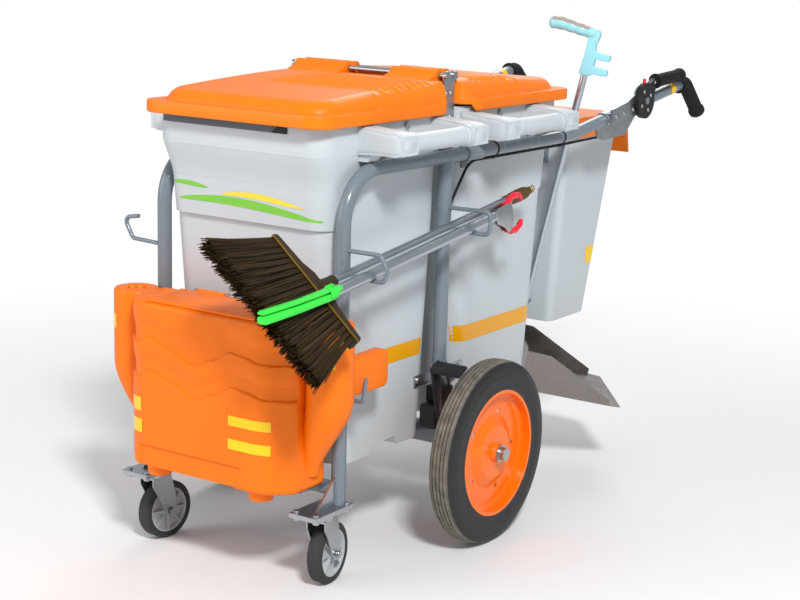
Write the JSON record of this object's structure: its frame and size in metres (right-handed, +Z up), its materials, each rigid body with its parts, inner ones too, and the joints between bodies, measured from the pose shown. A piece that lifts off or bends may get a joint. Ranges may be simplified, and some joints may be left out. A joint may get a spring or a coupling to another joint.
{
  "type": "street sweeping cart",
  "caption": "Street sweeper's handcart with two lidded bins, a tool box, a narrow rear bin, a hand brake, and a stowed broom, litter picker and dustpan.",
  "frame": {"origin": "on the ground under the middle of the cart's footprint", "axes": "+X the cart's left side, +Y from the tool box towards the hand grips, +Z up"},
  "size_m": [0.7891, 1.953, 1.0792],
  "materials": {
    "frame_grey": "gloss grey paint",
    "zinc": "zinc plated steel",
    "black_rubber": "matt black rubber",
    "tyre": "solid rubber tyre",
    "castor_rubber": "grey black rubber",
    "orange_metal": "orange powder coat",
    "bin_grey": "light grey moulded plastic",
    "orange_plastic": "orange moulded plastic",
    "black_plastic": "black moulded plastic",
    "brass": "brass",
    "brown_plastic": "brown plastic grip",
    "timber": "wood",
    "bristle": "brown bristle",
    "green_plastic": "bright green plastic",
    "red_plastic": "red plastic",
    "aluminium": "satin aluminium",
    "blue_plastic": "pale blue plastic"
  },
  "bodies": {
    "frame": {"frame_side_left": "frame_grey", "frame_side_right": "frame_grey", "axle_beam": "frame_grey", "cross_tubes": "frame_grey", "tool_box_shelf": "frame_grey", "castor_plate_left": "zinc", "castor_plate_right": "zinc", "axle": "zinc", "hand_grip_left": "black_rubber", "hand_grip_right": "black_rubber", "front_bin": "bin_grey", "rear_bin": "bin_grey", "bin_bolts": "zinc", "hinge_rods": "zinc", "hinge_brackets": "zinc", "tool_box": "orange_plastic", "tool_box_columns": "orange_plastic", "tool_box_hinge": "zinc", "small_bin": "bin_grey", "small_bin_brackets": "frame_grey", "tool_hooks_left": "frame_grey", "tool_hooks_right": "frame_grey", "brake_cable": "black_plastic", "cable_ties": "black_plastic", "rail_straps": "black_rubber", "brake_bracket": "frame_grey", "cable_adjuster": "zinc", "brake_clamp": "black_plastic", "dustpan_clip": "black_plastic"},
    "wheel_left": {"tyre_left": "tyre", "wheel_rim_left": "orange_metal"},
    "wheel_right": {"tyre_right": "tyre", "wheel_rim_right": "orange_metal"},
    "castor_left": {"castor_fork_left": "zinc"},
    "castor_wheel_left": {"castor_tyre_left": "castor_rubber", "castor_hub_left": "black_plastic"},
    "castor_right": {"castor_fork_right": "zinc"},
    "castor_wheel_right": {"castor_tyre_right": "castor_rubber", "castor_hub_right": "black_plastic"},
    "front_lid": {"front_lid": "orange_plastic"},
    "rear_lid": {"rear_lid": "orange_plastic"},
    "tool_box_lid": {"tool_box_lid": "orange_plastic"},
    "small_bin_lid": {"small_bin_lid": "orange_plastic"},
    "brake_lever": {"brake_lever": "zinc", "lever_grip": "black_rubber"},
    "lever_button": {"lever_button": "red_plastic"},
    "brake_arm": {"brake_arm": "zinc"},
    "broom": {"broom_head": "timber", "broom_bristles": "bristle", "broom_handle": "aluminium", "broom_grip": "brown_plastic"},
    "litter_picker": {"picker_fixed_jaw": "green_plastic", "picker_tube": "aluminium", "picker_plates": "zinc", "picker_handle": "red_plastic"},
    "picker_trigger": {"picker_trigger": "red_plastic"},
    "picker_jaw": {"picker_jaw": "green_plastic"},
    "dustpan": {"dustpan_pan": "zinc", "dustpan_handle": "aluminium", "dustpan_comb": "blue_plastic"}
  },
  "joints": [
    {"name": "wheel_left_spin", "type": "hinge", "parent": "frame", "child": "wheel_left", "pos_m": [0.3395, -0.1949, 0.2], "axis": [1, 0, 0], "continuous": true},
    {"name": "wheel_right_spin", "type": "hinge", "parent": "frame", "child": "wheel_right", "pos_m": [-0.3395, -0.1949, 0.2], "axis": [1, 0, 0], "continuous": true},
    {"name": "castor_left_swivel", "type": "hinge", "parent": "frame", "child": "castor_left", "pos_m": [0.2208, -0.6319, 0.14], "axis": [0, 0, 1], "continuous": true},
    {"name": "castor_left_spin", "type": "hinge", "parent": "castor_left", "child": "castor_wheel_left", "pos_m": [0.2169, -0.60417, 0.0625], "axis": [0.9903, 0.1392, 0], "continuous": true},
    {"name": "castor_right_swivel", "type": "hinge", "parent": "frame", "child": "castor_right", "pos_m": [-0.2208, -0.6319, 0.14], "axis": [0, 0, 1], "continuous": true},
    {"name": "castor_right_spin", "type": "hinge", "parent": "castor_right", "child": "castor_wheel_right", "pos_m": [-0.21739, -0.60411, 0.0625], "axis": [0.9925, -0.1219, 0], "continuous": true},
    {"name": "front_lid_hinge", "type": "hinge", "parent": "frame", "child": "front_lid", "pos_m": [0, -0.1899, 0.992], "axis": [-1, 0, 0], "range_deg": [0, 90]},
    {"name": "rear_lid_hinge", "type": "hinge", "parent": "frame", "child": "rear_lid", "pos_m": [0, -0.1599, 0.992], "axis": [1, 0, 0], "range_deg": [0, 90]},
    {"name": "tool_box_lid_hinge", "type": "hinge", "parent": "frame", "child": "tool_box_lid", "pos_m": [0, -0.6189, 0.556], "axis": [-1, 0, 0], "range_deg": [0, 90]},
    {"name": "small_bin_lid_hinge", "type": "hinge", "parent": "frame", "child": "small_bin_lid", "pos_m": [0, 0.4231, 0.832], "axis": [1, 0, 0], "range_deg": [0, 90]},
    {"name": "brake_lever_pivot", "type": "hinge", "parent": "frame", "child": "brake_lever", "pos_m": [0.27, 0.6111, 0.895], "axis": [1, 0, 0], "range_deg": [0, 40]},
    {"name": "lever_button_press", "type": "slide", "parent": "brake_lever", "child": "lever_button", "axis": [0, 0, -1], "range_m": [0, 0.004], "stiffness_N_per_m": 300, "springref_m": -0.002},
    {"name": "brake_arm_pivot", "type": "hinge", "parent": "frame", "child": "brake_arm", "pos_m": [0.255, -0.2649, 0.275], "axis": [-1, 0, 0], "range_deg": [0, 7.2]},
    {"name": "broom_slide", "type": "slide", "parent": "frame", "child": "broom", "axis": [0, -0.9917, -0.1288], "range_m": [0, 0.4]},
    {"name": "picker_slide", "type": "slide", "parent": "frame", "child": "litter_picker", "axis": [0, -0.9917, -0.1288], "range_m": [0, 0.07]},
    {"name": "picker_trigger_squeeze", "type": "hinge", "parent": "litter_picker", "child": "picker_trigger", "pos_m": [0.305, -0.10499, 0.71479], "axis": [-1, 0, 0], "range_deg": [0, 14], "stiffness_Nm_per_rad": 1, "springref_deg": -5.73},
    {"name": "picker_jaw_open", "type": "hinge", "parent": "litter_picker", "child": "picker_jaw", "pos_m": [0.305, -0.72281, 0.63455], "axis": [-1, 0, 0], "range_deg": [0, 14]},
    {"name": "dustpan_lift", "type": "slide", "parent": "frame", "child": "dustpan", "axis": [0.1912, 0.0794, 0.9783], "range_m": [0, 0.01]}
  ],
  "couplings": [
    {"joint": "brake_arm_pivot", "follows": "brake_lever_pivot", "ratio": 0.18},
    {"joint": "picker_jaw_open", "follows": "picker_trigger_squeeze", "ratio": 1}
  ]
}
